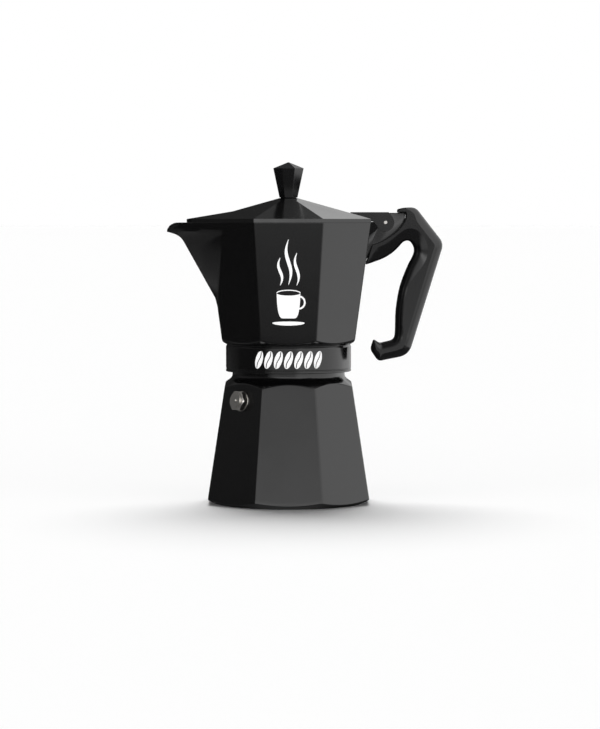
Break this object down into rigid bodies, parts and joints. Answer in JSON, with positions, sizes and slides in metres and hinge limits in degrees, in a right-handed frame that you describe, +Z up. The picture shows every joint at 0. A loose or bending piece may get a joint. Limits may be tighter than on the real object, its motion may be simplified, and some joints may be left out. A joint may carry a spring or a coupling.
{
  "type": "moka pot",
  "caption": "Eight-sided stove-top coffee maker with screw-on collector, hinged lid, safety valve, lift-out coffee basket and angular side handle.",
  "frame": {"origin": "centre of the boiler's flat base, on the surface it stands on", "axes": "+Z up, spout toward -X, handle toward +X"},
  "size_m": [0.1774, 0.1052, 0.2192],
  "materials": {
    "black_coat": "satin black coating on cast aluminium, bare inside",
    "bare_aluminium": "bare spun and cast aluminium",
    "steel": "bright nickel-plated",
    "brass": "turned brass",
    "gasket_rubber": "matt white silicone",
    "rubber": "matt red silicone",
    "black_plastic": "glossy black moulded plastic"
  },
  "bodies": {
    "base": {"boiler": "black_coat", "valve_body": "steel", "valve_washer": "steel", "valve_nut": "brass", "valve_seat": "rubber", "valve_spring": "steel"},
    "valve": {"valve_stem": "steel"},
    "basket": {"funnel": "bare_aluminium", "funnel_plate": "bare_aluminium"},
    "filter": {"gasket": "gasket_rubber", "filter_plate": "bare_aluminium"},
    "upper": {"collector": "black_coat", "column": "bare_aluminium", "hinge_pin": "steel", "handle": "black_plastic", "handle_screw": "steel", "handle_pin": "steel"},
    "cover": {"lid": "black_coat", "knob": "black_plastic", "knob_washer": "steel", "knob_screw": "steel"}
  },
  "joints": [
    {"name": "collector_lift", "type": "slide", "parent": "base", "child": "filter", "axis": [0, 0, 1], "range_m": [0, 0.18]},
    {"name": "collector_turn", "type": "hinge", "parent": "filter", "child": "upper", "pos_m": [0, 0, 0.085], "axis": [0, 0, 1], "range_deg": [0, 450]},
    {"name": "lid_hinge", "type": "hinge", "parent": "upper", "child": "cover", "pos_m": [0.0621, 0, 0.1806], "axis": [0, 1, 0], "range_deg": [0, 90]},
    {"name": "basket_lift", "type": "slide", "parent": "base", "child": "basket", "axis": [0, 0, 1], "range_m": [0, 0.09]},
    {"name": "valve_lift", "type": "slide", "parent": "base", "child": "valve", "axis": [-0.6993, -0.6993, 0.1483], "range_m": [0, 0.0012], "stiffness_N_per_m": 800, "springref_m": -0.002, "deforming": ["valve_spring"]}
  ],
  "couplings": [
    {"joint": "basket_lift", "follows": "collector_lift", "ratio": 0.5}
  ]
}
